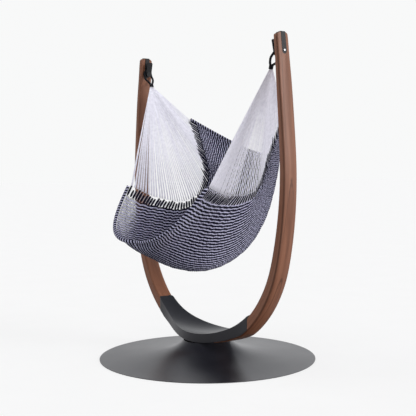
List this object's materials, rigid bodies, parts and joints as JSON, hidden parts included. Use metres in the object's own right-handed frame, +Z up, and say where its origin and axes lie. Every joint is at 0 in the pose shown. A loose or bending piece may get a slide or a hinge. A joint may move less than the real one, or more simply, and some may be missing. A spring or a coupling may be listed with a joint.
{
  "type": "hammock chair on stand",
  "caption": "Woven hammock chair hung by fanned cords and rope eyes from the hooked tips of a curved wooden U frame, held in a leaf-shaped saddle on a flared round base.",
  "frame": {"origin": "floor level, at the centre of the round base", "axes": "+Z up; +X from the base centre toward the right-hand arm, in the plane of the U; the seat opens toward -Y"},
  "size_m": [1.5108, 1.3, 1.8707],
  "materials": {
    "cover_black": "matte powder coat",
    "ballast_steel": "plain rolled plate",
    "pad_rubber": "matte",
    "pedestal_iron": "as cast, machined faces",
    "bolt_steel": "zinc plated",
    "saddle_black": "cast, black satin powder coat",
    "walnut": "oiled walnut laminate, grain along the bend",
    "hook_black": "black powder coat",
    "stainless": "polished dome head",
    "rope_black": "served black rope",
    "whipping_black": "wound black twine",
    "string_offwhite": "thin twisted cord",
    "band_navy": "dense woven bars",
    "weave_striped": "open weave, navy and off-white lines",
    "selvedge_ticked": "twisted edge rope, navy and off-white"
  },
  "bodies": {
    "stand": {"base_cover": "cover_black", "ballast_plate": "ballast_steel", "foot_pads": "pad_rubber", "pedestal": "pedestal_iron", "plate_bolts": "bolt_steel", "saddle_bolts": "bolt_steel", "arm_bolts": "bolt_steel", "saddle": "saddle_black", "arm_left": "walnut", "arm_right": "walnut", "strap_left": "hook_black", "strap_right": "hook_black", "tongue_left": "hook_black", "tongue_right": "hook_black", "peg_left": "hook_black", "peg_right": "hook_black", "hook_bolt_left": "stainless", "hook_bolt_right": "stainless"},
    "hammock": {"eye_left": "rope_black", "eye_right": "rope_black", "whipping_left": "whipping_black", "whipping_right": "whipping_black", "strings_left": "string_offwhite", "strings_right": "string_offwhite", "end_bars_left": "band_navy", "end_bars_right": "band_navy", "seat_weave": "weave_striped", "selvedge_front": "selvedge_ticked", "selvedge_rear": "selvedge_ticked"}
  },
  "joints": [
    {"name": "swing", "type": "hinge", "parent": "stand", "child": "hammock", "pos_m": [0, 0, 1.763], "axis": [1, 0, 0], "range_deg": [-30, 30]}
  ]
}
